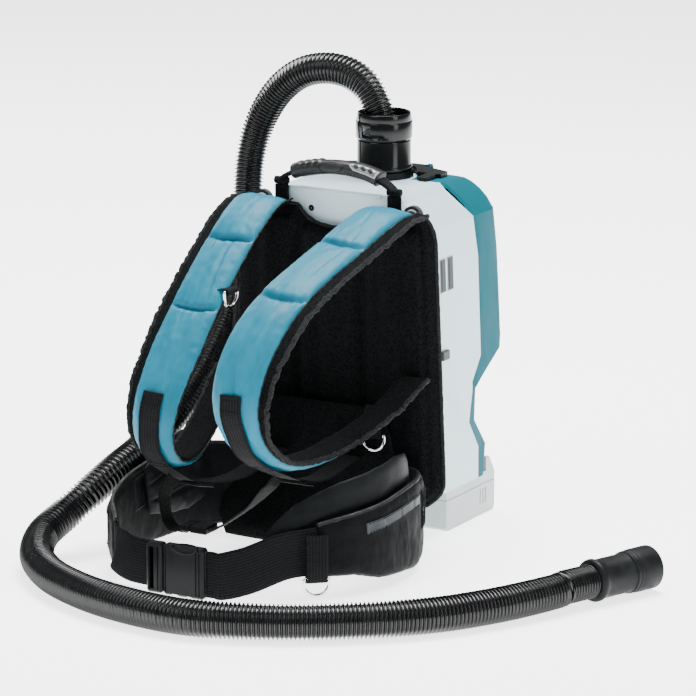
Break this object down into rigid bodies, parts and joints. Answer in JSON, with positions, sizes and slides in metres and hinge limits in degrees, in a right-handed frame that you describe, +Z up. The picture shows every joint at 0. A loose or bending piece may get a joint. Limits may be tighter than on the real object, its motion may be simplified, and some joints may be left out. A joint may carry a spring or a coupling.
{
  "type": "backpack vacuum cleaner",
  "caption": "Cordless backpack vacuum cleaner: faceted housing with clip-in batteries, padded shoulder and hip harness, and a long ribbed hose with an end cuff",
  "frame": {"origin": "on the floor under the middle of the part without its hose", "axes": "+Z up; +Y is the way the service cover faces and the batteries pull out; the harness faces -Y"},
  "size_m": [0.6124, 0.5783, 0.4847],
  "materials": {
    "white_plastic": "smooth pale grey-white moulding",
    "teal_plastic": "smooth teal moulding",
    "black_plastic": "satin black moulding",
    "grey_plastic": "dark grey moulding",
    "battery_plastic": "light grey moulding",
    "board": "circuit board lacquer",
    "collar_card": "stiff card",
    "black_rubber": "satin black",
    "black_mesh": "black spacer mesh over foam",
    "teal_fabric": "satin teal cloth over foam",
    "webbing": "woven black webbing",
    "bag_fleece": "soft fleece",
    "filter_paper": "pleated filter cloth",
    "steel": "bare steel",
    "chrome": "bright plated wire"
  },
  "bodies": {
    "machine": {"main_housing": "white_plastic", "side_vent_left": "grey_plastic", "side_vent_right": "grey_plastic", "lower_trim": "teal_plastic", "cover_gasket": "black_rubber", "inlet_socket": "black_plastic", "hose_ferrule": "black_plastic", "hose": "black_rubber", "hose_cuff_sleeve": "black_rubber", "hose_end_cuff": "black_rubber", "motor_housing": "grey_plastic", "motor_core": "steel", "filter": "filter_paper", "dust_bag": "bag_fleece", "bag_collar": "collar_card", "control_board": "board", "battery_terminal_left": "black_plastic", "battery_terminal_right": "black_plastic", "back_plate": "grey_plastic", "back_pad": "black_mesh", "lumbar_pad": "black_mesh", "handle_webbing_left": "webbing", "handle_webbing_right": "webbing", "shoulder_strap_left": "teal_fabric", "shoulder_strap_right": "teal_fabric", "strap_webbing_left": "webbing", "strap_webbing_right": "webbing", "hip_belt_left": "black_mesh", "hip_belt_right": "black_mesh", "hip_pad_left": "black_mesh", "hip_pad_right": "black_mesh", "belt_webbing_left": "webbing", "belt_webbing_right": "webbing", "buckle_body": "black_plastic", "chest_strap_left": "webbing", "chest_strap_right": "webbing", "chest_buckle_body": "black_plastic"},
    "cover": {"front_cover": "teal_plastic", "cover_panel": "white_plastic", "cover_hinge_pin": "steel", "latch_pin": "steel"},
    "latch": {"cover_latch": "black_plastic"},
    "coupler": {"hose_coupler": "black_plastic"},
    "lock": {"lock_ring": "black_plastic"},
    "handle": {"handle_grip": "black_rubber"},
    "pack_left": {"battery_left": "battery_plastic"},
    "pack_right": {"battery_right": "battery_plastic"},
    "pack_button_left": {"battery_button_left": "black_plastic"},
    "pack_button_right": {"battery_button_right": "black_plastic"},
    "rotor": {"motor_shaft": "steel", "impeller": "grey_plastic"},
    "rocker": {"power_rocker": "black_plastic"},
    "waist_tongue": {"buckle_tongue": "black_plastic"},
    "chest_tongue": {"chest_buckle_tongue": "black_plastic"},
    "adjuster_left": {"strap_adjuster_left": "black_plastic"},
    "adjuster_right": {"strap_adjuster_right": "black_plastic"},
    "ring_belt": {"d_ring_belt": "chrome"},
    "ring_hip_left": {"d_ring_hip_left": "chrome"},
    "ring_hip_right": {"d_ring_hip_right": "chrome"},
    "ring_strap": {"d_ring_strap": "chrome"}
  },
  "joints": [
    {"name": "cover_hinge", "type": "hinge", "parent": "machine", "child": "cover", "pos_m": [0, 0.164, 0.146], "axis": [-1, 0, 0], "range_deg": [0, 90]},
    {"name": "latch_hinge", "type": "hinge", "parent": "cover", "child": "latch", "pos_m": [0, 0.1975, 0.366], "axis": [-1, 0, 0], "range_deg": [0, 60]},
    {"name": "coupler_swivel", "type": "hinge", "parent": "machine", "child": "coupler", "pos_m": [0, 0.1575, 0.3686], "axis": [0, 0, 1], "continuous": true},
    {"name": "lock_twist", "type": "hinge", "parent": "coupler", "child": "lock", "pos_m": [0, 0.1575, 0.4008], "axis": [0, 0, 1], "range_deg": [0, 30]},
    {"name": "handle_fold", "type": "hinge", "parent": "machine", "child": "handle", "pos_m": [0, 0.0603, 0.3665], "axis": [1, 0, 0], "range_deg": [-60, 60]},
    {"name": "battery_slide_left", "type": "slide", "parent": "machine", "child": "pack_left", "axis": [0, 1, 0], "range_m": [0, 0.1]},
    {"name": "battery_slide_right", "type": "slide", "parent": "machine", "child": "pack_right", "axis": [0, 1, 0], "range_m": [0, 0.1]},
    {"name": "battery_release_left", "type": "slide", "parent": "pack_left", "child": "pack_button_left", "axis": [0, -1, 0], "range_m": [0, 0.004], "stiffness_N_per_m": 300},
    {"name": "battery_release_right", "type": "slide", "parent": "pack_right", "child": "pack_button_right", "axis": [0, -1, 0], "range_m": [0, 0.004], "stiffness_N_per_m": 300},
    {"name": "fan_spin", "type": "hinge", "parent": "machine", "child": "rotor", "pos_m": [0, 0.1055, 0.113], "axis": [0, 0, 1], "continuous": true},
    {"name": "power_rock", "type": "hinge", "parent": "machine", "child": "rocker", "pos_m": [-0.09993, 0.1135, 0.215], "axis": [0, 1, 0], "range_deg": [-8, 8], "stiffness_Nm_per_rad": 0.05},
    {"name": "waist_release", "type": "slide", "parent": "machine", "child": "waist_tongue", "axis": [-1, 0, 0], "range_m": [0, 0.024]},
    {"name": "chest_release", "type": "slide", "parent": "machine", "child": "chest_tongue", "axis": [-1, 0, 0], "range_m": [0, 0.013]},
    {"name": "adjuster_tilt_left", "type": "hinge", "parent": "machine", "child": "adjuster_left", "pos_m": [-0.07518, -0.11454, 0.084], "axis": [-0.9526, 0.296, -0.0701], "range_deg": [0, 20]},
    {"name": "adjuster_tilt_right", "type": "hinge", "parent": "machine", "child": "adjuster_right", "pos_m": [0.05678, -0.13431, 0.10757], "axis": [-0.9947, -0.0984, 0.0302], "range_deg": [0, 20]},
    {"name": "ring_belt_swing", "type": "hinge", "parent": "machine", "child": "ring_belt", "pos_m": [0.104, -0.1655, 0.0216], "axis": [0.7507, 0.6606, 0], "range_deg": [-60, 60]},
    {"name": "ring_hip_left_swing", "type": "hinge", "parent": "machine", "child": "ring_hip_left", "pos_m": [-0.07, 0.01328, 0.1], "axis": [-1, 0, 0], "range_deg": [0, 80]},
    {"name": "ring_hip_right_swing", "type": "hinge", "parent": "machine", "child": "ring_hip_right", "pos_m": [0.068, 0.01328, 0.124], "axis": [-1, 0, 0], "range_deg": [0, 80]},
    {"name": "ring_strap_swing", "type": "hinge", "parent": "machine", "child": "ring_strap", "pos_m": [-0.0458, -0.0765, 0.279], "axis": [0, -1, 0], "range_deg": [0, 60]}
  ]
}
